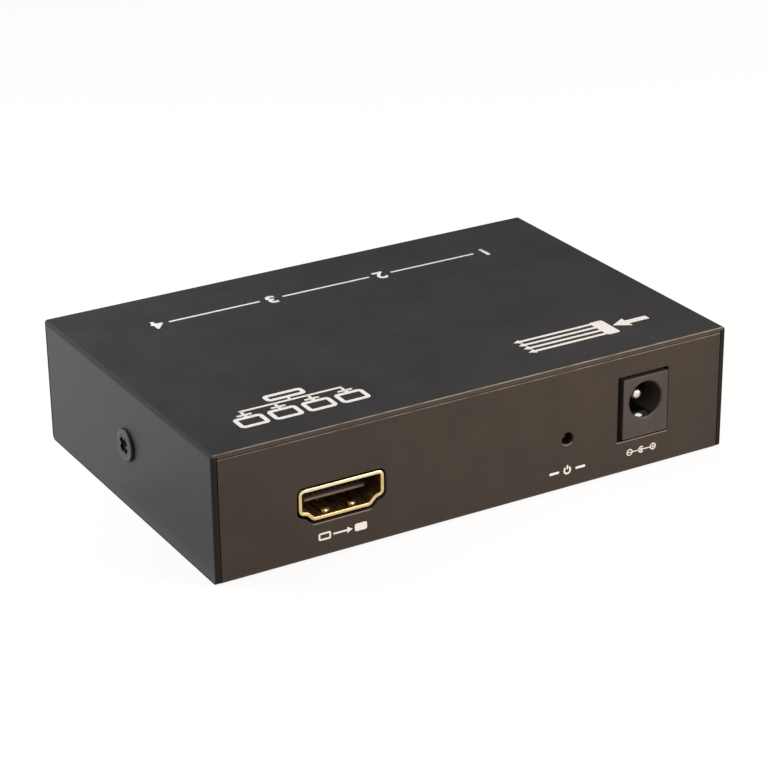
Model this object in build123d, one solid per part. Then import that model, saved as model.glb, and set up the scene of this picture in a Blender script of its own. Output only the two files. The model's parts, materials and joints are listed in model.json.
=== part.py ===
import os
from build123d import *

# Video splitter with one input and four outputs, in millimetres.
# The origin is the middle of the underside, X to the right, Y to the back, Z up.

# Case: a folded cover that slides down over a folded tray
case_width = 95.0
case_depth = 62.5
case_height = 22.0
sheet = 0.8
cover_inner_bend = 0.1
cover_outer_bend = 0.5
cover_foot_round = 1.0
cover_foot_rise = 0.05
tray_inner_bend = 0.2
fold_gap = 0.15
edge_break = 0.12
cutout_break = 0.12
cut_overrun = 1.0

# Side tabs of the tray, each with a tapped collar for the side screw
tab_width = 12.0
tab_over_screw = 4.0
tab_relief_width = 1.0
tab_relief_depth = 1.6
collar_radius = 2.2
collar_length = 1.2

# Machine screws
thread_radius = 1.5
thread_depth = 0.15
thread_pitch = 0.5
thread_clearance = 0.05
screw_hole_clearance = 0.2
screw_head_radius = 2.75
screw_head_height = 0.65
screw_head_round = 0.3
side_screw_length = 5.0
side_screw_rise = 0.6
side_screw_y = -0.5
board_screw_length = 4.4
board_screw_head_height = 1.6
recess_span_share = 0.52
recess_slot_share = 0.22
recess_depth_share = 0.7
recess_pit_radius = 0.85
recess_pit_floor = 0.3
recess_pit_depth = 1.3
side_screw_turn = 45

# Circuit board on four swaged standoffs
board_thickness = 1.6
board_side_gap = 0.75
board_end_gap = 0.35
board_corner = 1.0
standoff_height = 3.8
standoff_radius = 2.75
standoff_shank_radius = 2.1
standoff_recess = 0.1
fixing_side_inset = 4.0
fixing_front_setback = 7.25
fixing_back_setback = 18.75
through_hole_clearance = 0.15
solder_tail = 1.0

# Video socket, with the board's top as its zero height and its mouth as its zero depth
socket_width = 13.9
socket_height = 4.5
socket_floor_width = 9.6
socket_waist_width = 11.7
socket_waist_height = 1.05
socket_shoulder_height = 1.35
socket_corner = 0.4
socket_waist_round = 1.35
socket_floor_rise = 1.1
socket_wall = 0.35
socket_length = 11.8
rim_reach = 0.25
rim_depth = 0.35
socket_panel_gap = 0.3
socket_panel_gap_below = 0.6
lip_round = 0.18
socket_leg_width = 1.5
socket_leg_depths = (2.6, 8.6)
socket_rear_window = 1.3
finger_width = 1.3
finger_gap = 0.3
finger_spacing = 4.7
finger_tip_depth = 0.95
finger_crest_depth = 1.5
finger_root_depth = 5.6
finger_rise = 0.3
finger_dome_radius = 0.6
finger_dome_rise = 0.36
finger_overlap = 0.2
roof_finger_setback = 1.8
input_side_inset = 19.5
output_count = 4
output_side_inset = 12.75

# Insulator and contacts of a video socket
tongue_width = 10.9
tongue_thickness = 0.85
tongue_drop = 0.22
tongue_depth = 2.4
tongue_chamfer = 0.25
insulator_start = 8.0
insulator_end = 10.6
insulator_fit = 0.05
insulator_foot_width = 9.0
insulator_foot_start = 8.4
contact_pitch = 1.0
contact_width = 0.4
contact_thickness = 0.2
contact_proud = 0.05
contact_setback = 0.6
contact_foot = 1.5
upper_contacts = 10
lower_contacts = 9

# Power jack, with the same zero height and depth as a socket
jack_side_inset = 13.4
jack_width = 8.9
jack_height = 10.7
jack_length = 14.2
jack_proud = 0.2
jack_flange_length = 3.4
jack_shoulder = 0.35
jack_bore_radius = 3.2
jack_bore_rise = 6.4
jack_bore_depth = 11.6
jack_bore_chamfer = 0.2
jack_edge_round = 0.25
jack_face_round = 0.12
jack_cutout_left = 0.92
jack_cutout_right = 0.16
jack_cutout_above = 0.55
jack_cutout_below = 0.38
jack_pin_radius = 1.05
jack_pin_setback = 2.15
jack_pin_tip = 0.85
jack_pin_shoulder_radius = 1.35
jack_pin_rivet_radius = 1.6
jack_pin_rivet_length = 0.4
jack_leg_width = 2.4
jack_strip = 0.4
jack_fit = 0.05

# Spring leaf of the jack and the two strips that it works between
leaf_width = 2.6
leaf_thickness = 0.3
leaf_tip_depth = 0.9
leaf_crest_depth = 1.8
leaf_root_depth = 10.2
leaf_crest_intrusion = 0.45
leaf_root_drop = 1.0
leaf_tip_drop = 0.55
leaf_seat_gap = 0.1
channel_side_gap = 0.25
channel_end_gap = 0.35
channel_floor = 1.0
sleeve_plate_length = 2.6
switch_arm_depth = 7.0
switch_arm_width = 1.4
switch_arm_reach = 0.6
switch_gap = 0.1

# Power light in its right-angle holder
led_from_jack = 15.2
led_rise = 2.9
led_radius = 1.5
led_length = 4.0
led_flange_radius = 1.9
led_flange_length = 0.9
led_hole_radius = 1.1
led_setback = 0.35
led_lead = 0.5
led_lead_spacing = 2.54
led_lead_run = 1.7
led_holder_width = 5.0
led_holder_height = 5.2
led_holder_length = 3.2
led_holder_bore_gap = 0.05
led_holder_chamfer = 0.6

# Chips: a body with gull-wing legs
chip_lift = 0.1
leg_thickness = 0.15
leg_foot = 0.5
splitter_chip_size = 14.0
splitter_chip_height = 1.4
splitter_leg_pitch = 0.8
splitter_leg_width = 0.35
splitter_leg_span = 1.0
splitter_legs_per_side = 16
splitter_chip_y = -1.5
controller_size = 7.0
controller_height = 1.2
controller_leg_pitch = 0.8
controller_leg_width = 0.3
controller_legs_per_side = 8
controller_gap = 2.65
memory_length = 4.9
memory_width = 3.9
memory_height = 1.4
memory_leg_pitch = 1.27
memory_leg_width = 0.42
memory_legs_per_side = 4
memory_side_inset = 12.0
memory_gap = 1.2
memory_row_gap = 1.6
thermal_pad_thickness = 0.3
thermal_pad_inset = 0.15
heat_sink_size = 14.0
heat_sink_base = 1.6
heat_sink_height = 6.0
heat_sink_fins = 6
heat_sink_fin = 0.9

# Power parts on the board
regulator_length = 6.5
regulator_width = 3.5
regulator_height = 1.6
regulator_leg_pitch = 2.3
regulator_leg_width = 0.7
regulator_tab_width = 3.0
regulator_leg_reach = 1.7
regulator_leg_thickness = 0.3
regulator_row_gap = 4.1
inductor_size = 7.0
inductor_height = 3.4
inductor_round = 1.2
inductor_chamfer = 0.3
inductor_gap = 1.4
can_radius = 3.15
can_height = 5.2
can_groove_height = 1.0
can_groove = 0.25
can_round = 0.4
can_base_size = 6.6
can_base_height = 0.6
can_base_chamfer = 1.2
can_from_jack = 8.65
can_from_led = 8.65
can_front_setback = 9.25
far_can_side_inset = 5.3
far_can_gap = 1.5
diode_length = 4.3
diode_width = 2.6
diode_height = 2.1
diode_gap = 1.2
diode_tab_length = 0.9
diode_tab_width = 1.5
diode_tab_height = 1.1
fuse_length = 4.5
fuse_width = 3.2
fuse_height = 0.9
fuse_gap = 2.0
crystal_length = 5.0
crystal_width = 3.2
crystal_height = 1.1
crystal_round = 0.5
crystal_from_input = 12.5
crystal_gap = 2.4

# Small chip parts
array_length = 2.5
array_width = 1.0
array_height = 0.55
array_spacing = 5.0
array_setback = 2.2
chip_part_length = 1.6
chip_part_width = 0.8
capacitor_height = 0.8
resistor_height = 0.45
chip_end = 0.3
coupling_per_socket = 8
coupling_spacing = 1.6
coupling_setback = 5.2
decoupling_count = 6
decoupling_spacing = 2.4
decoupling_gap = 2.6
pullup_count = 5
pullup_spacing = 2.2
pullup_gap = 1.0

# Places that follow from the sizes above
half_width = case_width / 2
front = -case_depth / 2
back = case_depth / 2
tray_half_width = half_width - sheet - fold_gap
panel_top = case_height - sheet - fold_gap
side_screw_height = case_height / 2 + side_screw_rise
board_bottom = sheet + standoff_height
board_top = board_bottom + board_thickness
board_half_width = tray_half_width - sheet - board_side_gap
board_front = front + sheet + board_end_gap
board_back = back - sheet - board_end_gap
fixing_x = board_half_width - fixing_side_inset
fixing_rows = (front + fixing_front_setback, back - fixing_back_setback)
fixings = [(side * fixing_x, y) for side in (-1, 1) for y in fixing_rows]
input_x = input_side_inset - board_half_width
output_pitch = 2 * (board_half_width - output_side_inset) / (output_count - 1)
output_places = [((output_count - 1) / 2 - i) * output_pitch for i in range(output_count)]
jack_x = board_half_width - jack_side_inset
jack_rear = front - jack_proud + jack_length + jack_fit + jack_strip + jack_pin_rivet_length
led_x = jack_x - led_from_jack
socket_centre_rise = socket_floor_rise + socket_height / 2
tongue_rise = socket_centre_rise - tongue_drop
leaf_pivot_y = front - jack_proud + leaf_root_depth
leaf_pivot_z = board_top + jack_bore_rise - jack_bore_radius - leaf_root_drop
input_parts_rear = front + insulator_end + contact_foot + coupling_setback + chip_part_length / 2
decoupling_x = splitter_chip_size / 2 + splitter_leg_span + decoupling_gap
memory_x = memory_side_inset - board_half_width
memory_half = memory_width / 2 + splitter_leg_span
memory_front_y = input_parts_rear + memory_gap + memory_half
memory_rows = (memory_front_y, memory_front_y + 2 * memory_half + memory_row_gap)
controller_half = controller_size / 2 + splitter_leg_span
controller_x = (memory_x + memory_length / 2 - decoupling_x - chip_part_width / 2) / 2
controller_y = input_parts_rear + controller_gap + controller_half
pullup_y = controller_y + controller_half + pullup_gap + chip_part_length / 2
crystal_x = input_x + crystal_from_input
crystal_y = splitter_chip_y - splitter_chip_size / 2 - splitter_leg_span - crystal_gap - crystal_width / 2
diode_y = jack_rear + diode_gap + diode_width / 2
inductor_y = diode_y + diode_width / 2 + inductor_gap + inductor_size / 2
regulator_x = (decoupling_x + chip_part_width / 2 + jack_x - inductor_size / 2) / 2
regulator_shift = (regulator_width + regulator_row_gap) / 2 + regulator_leg_reach
regulator_rows = (splitter_chip_y - regulator_shift, splitter_chip_y + regulator_shift)
far_can_x = board_half_width - far_can_side_inset
fuse_y = fixing_rows[0] + standoff_radius + fuse_gap + fuse_width / 2
far_can_y = fuse_y + fuse_width / 2 + far_can_gap + can_base_size / 2
can_front_y = front + can_front_setback
front_can_x = (jack_x - can_from_jack, led_x - can_from_led)
can_places = [(x, can_front_y) for x in front_can_x] + [(far_can_x, far_can_y)]

on_floor = (Align.CENTER, Align.CENTER, Align.MIN)


# A block between two limits along each axis
def block(x, y, z):
    return Pos(x[0], y[0], z[0]) * Box(x[1] - x[0], y[1] - y[0], z[1] - z[0], align=(Align.MIN,) * 3)


# A block centred on a point in plan, standing on a height
def slab(x, y, z, length, width, height):
    return Pos(x, y, z) * Box(length, width, height, align=on_floor)


# Cylinders that start at a point and run along one axis
def rod_up(x, y, z, radius, length):
    return Pos(x, y, z) * Cylinder(radius, length, align=on_floor)


def rod_back(x, y, z, radius, length):
    return Pos(x, y, z) * Rot(-90, 0, 0) * Cylinder(radius, length, align=on_floor)


def rod_right(x, y, z, radius, length):
    return Pos(x, y, z) * Rot(0, 90, 0) * Cylinder(radius, length, align=on_floor)


# A profile drawn in X and Z, carried towards the back
def carry_back(profile, start, length):
    return extrude(Plane.XZ.offset(-start) * profile, amount=-length)


# A profile drawn in Y and Z, carried to both sides of a centre
def carry_across(profile, centre, width):
    return extrude(Plane.YZ.offset(centre - width / 2) * profile, amount=width)


# Separate solids kept together in one node
def group(pieces):
    return Compound([solid for piece in pieces for solid in piece.solids()])


def copies_on_board(piece, places):
    return group([Pos(x, y, board_top) * piece for x, y in places])


# Case


def make_top_cover():
    outside = block((-half_width, half_width), (front, back), (cover_foot_rise, case_height))
    outside = fillet(outside.edges().filter_by(Axis.Y).group_by(Axis.Z)[-1], cover_outer_bend)
    outside = fillet(outside.faces().filter_by(Axis.Y).edges(), edge_break)
    inner_half = half_width - sheet
    ends = (front - cut_overrun, back + cut_overrun)
    inside = block((-inner_half, inner_half), ends, (-cut_overrun, case_height - sheet))
    inside = fillet(inside.edges().filter_by(Axis.Y).group_by(Axis.Z)[-1], cover_inner_bend)
    across = 2 * (half_width + cut_overrun)
    hole_radius = thread_radius + screw_hole_clearance
    holes = rod_right(-across / 2, side_screw_y, side_screw_height, hole_radius, across)
    return outside - inside - holes - [foot_corner(end) for end in (-1, 1)]


# What is cut off the lower corners of the cover's sides at one end to round them
def foot_corner(end):
    across = 2 * (half_width + cut_overrun)
    centre = (end * (back - cover_foot_round), cover_foot_rise + cover_foot_round)
    depths = sorted((centre[0], end * (back + cut_overrun)))
    corner = block((-across / 2, across / 2), depths, (-cut_overrun, centre[1]))
    return corner - rod_right(-across / 2, *centre, cover_foot_round, across)


def make_base_tray():
    outside = block((-tray_half_width, tray_half_width), (front, back), (0, panel_top))
    outside = fillet(outside.edges().filter_by(Axis.X).group_by(Axis.Z)[0], tray_inner_bend + sheet)
    outside = fillet(outside.edges().filter_by(Axis.X).group_by(Axis.Z)[-1], edge_break)
    across = (-tray_half_width - cut_overrun, tray_half_width + cut_overrun)
    inside = block(across, (front + sheet, back - sheet), (sheet, panel_top + cut_overrun))
    inside = fillet(inside.edges().filter_by(Axis.X).group_by(Axis.Z)[0], tray_inner_bend)
    tray = outside - inside
    for side in (-1, 1):
        tray = tray - tab_reliefs(side) + side_tab(side)
    tapped_radius = thread_radius + thread_clearance
    tapped = rod_right(across[0], side_screw_y, side_screw_height, tapped_radius, across[1] - across[0])
    through = sheet + 2 * cut_overrun
    shanks = [rod_up(x, y, -cut_overrun, standoff_shank_radius, through) for x, y in fixings]
    tray = tray - tapped - shanks - panel_cutouts()
    panels = tray.faces().filter_by(Axis.Y).sort_by(Axis.Y)
    wires = panels[0].inner_wires() + panels[-1].inner_wires()
    rims = [edge for wire in wires for edge in wire.edges()]
    return chamfer(rims, cutout_break)


def tab_reliefs(side):
    inner = side * (tray_half_width - tab_relief_depth)
    outer = side * (tray_half_width + cut_overrun)
    near = tab_width / 2
    far = near + tab_relief_width
    spans = [(side_screw_y + a, side_screw_y + b) for a, b in ((near, far), (-far, -near))]
    heights = (-cut_overrun, sheet + cut_overrun)
    return [block(sorted((inner, outer)), span, heights) for span in spans]


def side_tab(side):
    face = side * tray_half_width
    inner = side * (tray_half_width - sheet)
    top = side_screw_height + tab_over_screw
    ends = (side_screw_y - tab_width / 2, side_screw_y + tab_width / 2)
    tab = block(sorted((face, inner)), ends, (0, top))
    bend = tab.edges().filter_by(Axis.Y).group_by(Axis.Z)[0].sort_by(Axis.X)[-1 if side > 0 else 0]
    tab = fillet(bend, tray_inner_bend + sheet / 2)
    start = inner if side < 0 else inner - collar_length
    return tab + rod_right(start, side_screw_y, side_screw_height, collar_radius, collar_length)


def panel_cutouts():
    through = sheet + 2 * cut_overrun
    mouth = socket_outline(socket_wall + rim_reach + socket_panel_gap)
    mouth += Pos(0, socket_panel_gap - socket_panel_gap_below, 0) * mouth
    floor = board_top + socket_floor_rise
    cuts = [Pos(input_x, 0, floor) * carry_back(mouth, front - cut_overrun, through)]
    for x in output_places:
        cuts.append(Pos(x, 0, floor) * carry_back(mouth, back - sheet - cut_overrun, through))
    cuts.append(rod_back(led_x, front - cut_overrun, board_top + led_rise, led_hole_radius, through))
    jack_left = jack_x - jack_width / 2 - jack_cutout_left
    jack_right = jack_x + jack_width / 2 + jack_cutout_right
    jack_heights = (board_top - jack_cutout_below, board_top + jack_height + jack_cutout_above)
    jack_depths = (front - cut_overrun, front + sheet + cut_overrun)
    cuts.append(block((jack_left, jack_right), jack_depths, jack_heights))
    return cuts


# Fasteners and standoffs


def make_screw(length, head_height):
    turns = int((length - thread_depth) / thread_pitch)
    root = thread_radius - thread_depth
    side = [(root, 0)]
    for turn in range(turns):
        start = -turn * thread_pitch
        side.append((thread_radius, start - thread_pitch / 2))
        side.append((root, start - thread_pitch))
    side.append((root, -length + thread_depth))
    side.append((root - thread_depth, -length))
    shank = revolve(Plane.XZ * make_face(Polyline((0, 0), *side, (0, -length), close=True)), Axis.Z)
    head = Cylinder(screw_head_radius, head_height, align=on_floor)
    head = fillet(head.edges().group_by(Axis.Z)[-1], screw_head_round)
    span = 2 * screw_head_radius * recess_span_share
    slot = 2 * screw_head_radius * recess_slot_share
    depth = head_height * recess_depth_share
    arm = slab(0, 0, head_height - depth, span, slot, depth + cut_overrun)
    pit = Cone(recess_pit_floor, recess_pit_radius, recess_pit_depth, align=on_floor)
    pit = Pos(0, 0, head_height - recess_pit_depth) * pit
    return shank + head - arm - Rot(0, 0, 90) * arm - pit


def make_side_screws():
    screw = Rot(0, 0, side_screw_turn) * make_screw(side_screw_length, screw_head_height)
    right = Pos(half_width, side_screw_y, side_screw_height) * Rot(0, 90, 0) * screw
    left = Pos(-half_width, side_screw_y, side_screw_height) * Rot(0, -90, 0) * screw
    return group([left, right])


def make_board_screws():
    return copies_on_board(make_screw(board_screw_length, board_screw_head_height), fixings)


def make_board_standoffs():
    body = Cylinder(standoff_radius, standoff_height, align=on_floor)
    shank_length = sheet - standoff_recess
    shank = Pos(0, 0, -shank_length) * Cylinder(standoff_shank_radius, shank_length, align=on_floor)
    depth = board_screw_length - board_thickness + thread_pitch
    hole_radius = thread_radius + thread_clearance
    hole = rod_up(0, 0, standoff_height - depth, hole_radius, depth + cut_overrun)
    standoff = body + shank - hole
    return group([Pos(x, y, sheet) * standoff for x, y in fixings])


def make_circuit_board():
    across = (-board_half_width, board_half_width)
    board = block(across, (board_front, board_back), (board_bottom, board_top))
    board = fillet(board.edges().filter_by(Axis.Z), board_corner)
    depth = board_thickness + 2 * cut_overrun
    start = board_bottom - cut_overrun
    cuts = [rod_up(x, y, start, thread_radius + screw_hole_clearance, depth) for x, y in fixings]
    slot_width = socket_wall + 2 * through_hole_clearance
    slot_length = socket_leg_width + 2 * through_hole_clearance
    for x, mouth, turn in socket_places():
        for side in (-1, 1):
            for leg in socket_leg_depths:
                leg_x = x + side * (socket_width + socket_wall) / 2
                cuts.append(slab(leg_x, mouth + turn * leg, start, slot_width, slot_length, depth))
    for x, y, length, width in jack_leg_places():
        gap = 2 * through_hole_clearance
        cuts.append(slab(x, y, start, length + gap, width + gap, depth))
    for side in (-1, 1):
        lead_x = led_x + side * led_lead_spacing / 2
        cuts.append(rod_up(lead_x, led_lead_y(), start, led_lead / 2 + 2 * through_hole_clearance, depth))
    return board - cuts


# Where each video socket stands: its middle, its mouth, and which way its depth runs
def socket_places():
    return [(input_x, front, 1)] + [(x, back, -1) for x in output_places]


def place_socket(piece, place):
    x, mouth, turn = place
    return Pos(x, mouth, board_top) * Rot(0, 0, 0 if turn > 0 else 180) * piece


# Video sockets


def socket_outline(grow):
    half = [
        (socket_floor_width / 2, 0),
        (socket_waist_width / 2, socket_waist_height),
        (socket_width / 2, socket_shoulder_height),
        (socket_width / 2, socket_height),
    ]
    rounds = [socket_corner, socket_waist_round, socket_corner, socket_corner]
    points = half + [(-x, z) for x, z in reversed(half)]
    outline = make_face(FilletPolyline(*points, radius=rounds + rounds[::-1], close=True))
    return offset(outline, grow) if grow else outline


def make_socket_shell():
    body = carry_back(socket_outline(socket_wall), 0, socket_length)
    rim = carry_back(socket_outline(socket_wall + rim_reach), 0, rim_depth)
    hollow = carry_back(socket_outline(0), -cut_overrun, socket_length - socket_wall + cut_overrun)
    shell = body + rim - hollow
    shell = fillet(shell.faces().sort_by(Axis.Y)[0].edges(), lip_round)
    window_half = insulator_foot_width / 2 + insulator_fit
    window_depth = (insulator_foot_start - insulator_fit, socket_length + cut_overrun)
    window_height = (-socket_wall - cut_overrun, socket_rear_window)
    shell -= block((-window_half, window_half), window_depth, (window_height[0], 0))
    tail_half = upper_contacts * contact_pitch / 2 + insulator_fit
    shell -= block((-tail_half, tail_half), (insulator_end, window_depth[1]), window_height)
    for side in (-1, 1):
        shell = shell - finger_slots(side) + spring_fingers(side)
    shell = Pos(0, 0, socket_floor_rise) * shell
    return shell + socket_legs()


def finger_slots(side):
    x = side * finger_spacing / 2
    half = finger_width / 2 + finger_gap
    depths = (finger_tip_depth - finger_gap, finger_root_depth)
    slot = block((x - half, x + half), depths, (-socket_wall - cut_overrun, 0))
    return [slot, roof_twin(slot)]


def spring_fingers(side):
    x = side * finger_spacing / 2
    path = [
        (finger_tip_depth, 0),
        (finger_crest_depth, finger_rise),
        (finger_root_depth, 0),
        (finger_root_depth + finger_overlap, 0),
    ]
    strip = make_face(Polyline(*path, *[(y, z - socket_wall) for y, z in reversed(path)], close=True))
    strip = fillet(strip.vertices().sort_by(Axis.X)[2:4], finger_overlap)
    finger = carry_across(strip, x, finger_width)
    reach = finger_dome_radius
    above = block((x - reach, x + reach), (0, finger_crest_depth + reach), (0, finger_dome_rise))
    dome = Pos(x, finger_crest_depth, finger_dome_rise - reach) * Sphere(reach) & above
    finger += dome
    return [finger, roof_twin(finger)]


# The roof's slots and fingers stand a little deeper than the floor's
def roof_twin(piece):
    return Pos(0, roof_finger_setback, socket_height) * mirror(piece, about=Plane.XY)


def socket_legs():
    inner = socket_width / 2
    bottom = -board_thickness - solder_tail
    top = socket_floor_rise + socket_shoulder_height + socket_corner
    legs = []
    for depth in socket_leg_depths:
        span = (depth - socket_leg_width / 2, depth + socket_leg_width / 2)
        legs.append(block((inner, inner + socket_wall), span, (bottom, top)))
        legs.append(block((-inner - socket_wall, -inner), span, (bottom, top)))
    return legs


def make_socket_contacts():
    roof = tongue_rise + tongue_thickness / 2
    floor = tongue_rise - tongue_thickness / 2
    upper = roof + contact_proud - contact_thickness
    rows = [(upper_contacts, upper), (lower_contacts, floor - contact_proud)]
    start = tongue_depth + contact_setback
    contacts = []
    for count, low in rows:
        for i in range(count):
            x = (i - (count - 1) / 2) * contact_pitch
            across = (x - contact_width / 2, x + contact_width / 2)
            tail_end = insulator_end + contact_thickness
            blade = block(across, (start, tail_end), (low, low + contact_thickness))
            tail = block(across, (insulator_end, tail_end), (0, low + contact_thickness))
            foot = block(across, (insulator_end, insulator_end + contact_foot), (0, contact_thickness))
            contacts.append(blade + tail + foot)
    return group(contacts)


def make_socket_insulator(contacts):
    half = tongue_width / 2
    thickness = (tongue_rise - tongue_thickness / 2, tongue_rise + tongue_thickness / 2)
    tongue = block((-half, half), (tongue_depth, insulator_start + insulator_fit), thickness)
    tongue = chamfer(tongue.faces().sort_by(Axis.Y)[0].edges(), tongue_chamfer)
    core = carry_back(socket_outline(-insulator_fit), insulator_start, insulator_end - insulator_start)
    foot_half = insulator_foot_width / 2
    foot_top = socket_floor_rise + socket_waist_height
    foot = block((-foot_half, foot_half), (insulator_foot_start, insulator_end), (0, foot_top))
    return tongue + Pos(0, 0, socket_floor_rise) * core + foot - contacts


# Power jack


def jack_leg_places():
    face = front - jack_proud
    rear = face + jack_length + jack_strip / 2 + jack_fit
    middle = face + leaf_root_depth + sleeve_plate_length - jack_strip / 2
    side = jack_x + jack_width / 2 + jack_fit + jack_strip / 2
    return [
        (jack_x, rear, jack_leg_width, jack_strip),
        (jack_x, middle, leaf_width, jack_strip),
        (side, face + switch_arm_depth, jack_strip, switch_arm_width),
    ]


# The channel under the bore, in which the leaf lies and swings
def leaf_channel():
    half = leaf_width / 2 + channel_side_gap
    depths = (leaf_tip_depth - channel_end_gap, leaf_root_depth + sleeve_plate_length)
    return block((-half, half), depths, (channel_floor, jack_bore_rise))


def make_jack_housing():
    half = jack_width / 2
    flange = block((-half, half), (0, jack_flange_length), (0, jack_height))
    flange = fillet(flange.edges().filter_by(Axis.Y), jack_edge_round)
    flange = fillet(flange.faces().sort_by(Axis.Y)[0].edges(), jack_face_round)
    rear = jack_length - jack_flange_length
    lower = block((-half, half), (jack_flange_length, jack_length), (0, jack_bore_rise))
    arch = rod_back(0, jack_flange_length, jack_bore_rise, half - jack_shoulder, rear)
    bore = rod_back(0, -cut_overrun, jack_bore_rise, jack_bore_radius, jack_bore_depth + cut_overrun)
    mouth_radius = jack_bore_radius + jack_bore_chamfer
    lead_in = Cone(mouth_radius, jack_bore_radius, jack_bore_chamfer, align=on_floor)
    lead_in = Pos(0, 0, jack_bore_rise) * Rot(-90, 0, 0) * lead_in
    pin_hole = rod_back(0, 0, jack_bore_rise, jack_pin_shoulder_radius, jack_length + cut_overrun)
    middle = leaf_root_depth + sleeve_plate_length
    slot_half = leaf_width / 2 + channel_side_gap
    leg_depths = (middle - jack_strip - jack_fit, middle)
    leg_slot = block((-slot_half, slot_half), leg_depths, (-cut_overrun, channel_floor))
    arm_half = switch_arm_width / 2 + jack_fit
    arm_depths = (switch_arm_depth - arm_half, switch_arm_depth + arm_half)
    arm_low = switch_arm_height()
    arm_heights = (arm_low - jack_fit, arm_low + jack_strip + jack_fit)
    arm_slot = block((0, half + cut_overrun), arm_depths, arm_heights)
    body = flange + lower + arch - bore - lead_in - pin_hole - leaf_channel() - leg_slot - arm_slot
    return Pos(jack_x, front - jack_proud, board_top) * body


def make_jack_pin():
    end = jack_length + jack_fit + jack_strip
    pin = rod_back(0, jack_pin_setback, jack_bore_rise, jack_pin_radius, end - jack_pin_setback)
    pin = fillet(pin.edges().group_by(Axis.Y)[0], jack_pin_tip)
    wall = jack_length - jack_bore_depth
    shoulder = rod_back(0, jack_bore_depth, jack_bore_rise, jack_pin_shoulder_radius, wall)
    rivet = rod_back(0, end, jack_bore_rise, jack_pin_rivet_radius, jack_pin_rivet_length)
    return Pos(jack_x, front - jack_proud, board_top) * (pin + shoulder + rivet)


def make_jack_pin_terminal():
    start = jack_length + jack_fit
    half = jack_leg_width / 2
    top = jack_bore_rise + jack_pin_rivet_radius
    strip = block((-half, half), (start, start + jack_strip), (-board_thickness - solder_tail, top))
    strip -= rod_back(0, 0, jack_bore_rise, jack_pin_radius, jack_length + 2 * cut_overrun)
    return Pos(jack_x, front - jack_proud, board_top) * strip


# Height of the leaf's upper face at a depth behind the jack's face, at rest
def leaf_height(depth):
    crest = jack_bore_rise - jack_bore_radius + leaf_crest_intrusion
    root = jack_bore_rise - jack_bore_radius - leaf_root_drop
    share = (depth - leaf_crest_depth) / (leaf_root_depth - leaf_crest_depth)
    return crest + (root - crest) * share


def make_jack_sleeve_leaf():
    crest = leaf_height(leaf_crest_depth)
    path = [
        (leaf_tip_depth, crest - leaf_tip_drop),
        (leaf_crest_depth, crest),
        (leaf_root_depth, leaf_height(leaf_root_depth)),
        (leaf_root_depth + sleeve_plate_length - jack_strip, leaf_height(leaf_root_depth)),
    ]
    strip = make_face(Polyline(*path, *[(y, z - leaf_thickness) for y, z in reversed(path)], close=True))
    strip = fillet(strip.vertices().sort_by(Axis.X)[2:4], leaf_thickness)
    return Pos(jack_x, front - jack_proud, board_top) * carry_across(strip, 0, leaf_width)


def make_jack_sleeve_terminal():
    top = leaf_height(leaf_root_depth) - leaf_thickness - leaf_seat_gap
    end = leaf_root_depth + sleeve_plate_length
    half = leaf_width / 2
    plate = block((-half, half), (leaf_root_depth, end), (channel_floor, top))
    leg = block((-half, half), (end - jack_strip, end), (-board_thickness - solder_tail, top))
    return Pos(jack_x, front - jack_proud, board_top) * (plate + leg)


# The switch arm lies just over the leaf, which rests against it until a plug pushes it down
def switch_arm_height():
    return leaf_height(switch_arm_depth - switch_arm_width / 2) + switch_gap


def make_jack_switch_terminal():
    low = switch_arm_height()
    outer = jack_width / 2 + jack_fit
    depths = (switch_arm_depth - switch_arm_width / 2, switch_arm_depth + switch_arm_width / 2)
    reach = leaf_width / 2 - switch_arm_reach
    arm = block((reach, outer), depths, (low, low + jack_strip))
    leg = block((outer, outer + jack_strip), depths, (-board_thickness - solder_tail, low + jack_strip))
    return Pos(jack_x, front - jack_proud, board_top) * (arm + leg)


# Power light


def led_lead_y():
    return front + sheet + led_setback + led_length + led_flange_length + led_lead_run


def make_power_led():
    tip = front + sheet + led_setback
    height = board_top + led_rise
    barrel = rod_back(led_x, tip + led_radius, height, led_radius, led_length - led_radius)
    dome = Pos(led_x, tip + led_radius, height) * Sphere(led_radius)
    flange = rod_back(led_x, tip + led_length, height, led_flange_radius, led_flange_length)
    return barrel + dome + flange


def make_power_led_leads():
    start = front + sheet + led_setback + led_length + led_flange_length
    height = board_top + led_rise
    bottom = board_bottom - solder_tail
    half = led_lead / 2
    leads = []
    for side in (-1, 1):
        x = led_x + side * led_lead_spacing / 2
        across = (x - half, x + half)
        run = block(across, (start, led_lead_y() + half), (height - half, height + half))
        drop = block(across, (led_lead_y() - half, led_lead_y() + half), (bottom, height + half))
        leads.append(run + drop)
    return group(leads)


def make_power_led_holder():
    start = front + sheet + led_setback + led_length - led_holder_length
    across = (led_x - led_holder_width / 2, led_x + led_holder_width / 2)
    body = block(across, (start, start + led_holder_length), (board_top, board_top + led_holder_height))
    height = board_top + led_rise
    bore_radius = led_radius + led_holder_bore_gap
    bore = rod_back(led_x, start - cut_overrun, height, bore_radius, led_holder_length + 2 * cut_overrun)
    body = chamfer(body.edges().filter_by(Axis.Y).group_by(Axis.Z)[-1], led_holder_chamfer)
    return body - bore


# Chips


# A gull-wing leg that starts at the origin against the chip's side and runs along Y
def gull_leg(width, height, span):
    top = chip_lift + height / 2
    knee = (span - leg_foot) / 2
    path = [(0, top), (knee, top), (span - leg_foot, leg_thickness), (span, leg_thickness)]
    strip = make_face(Polyline(*path, *[(y, z - leg_thickness) for y, z in reversed(path)], close=True))
    return carry_across(strip, 0, width)


def chip_body(length, width, height):
    body = slab(0, 0, chip_lift, length, width, height)
    return chamfer(body.edges().group_by(Axis.Z)[-1], leg_thickness)


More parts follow.
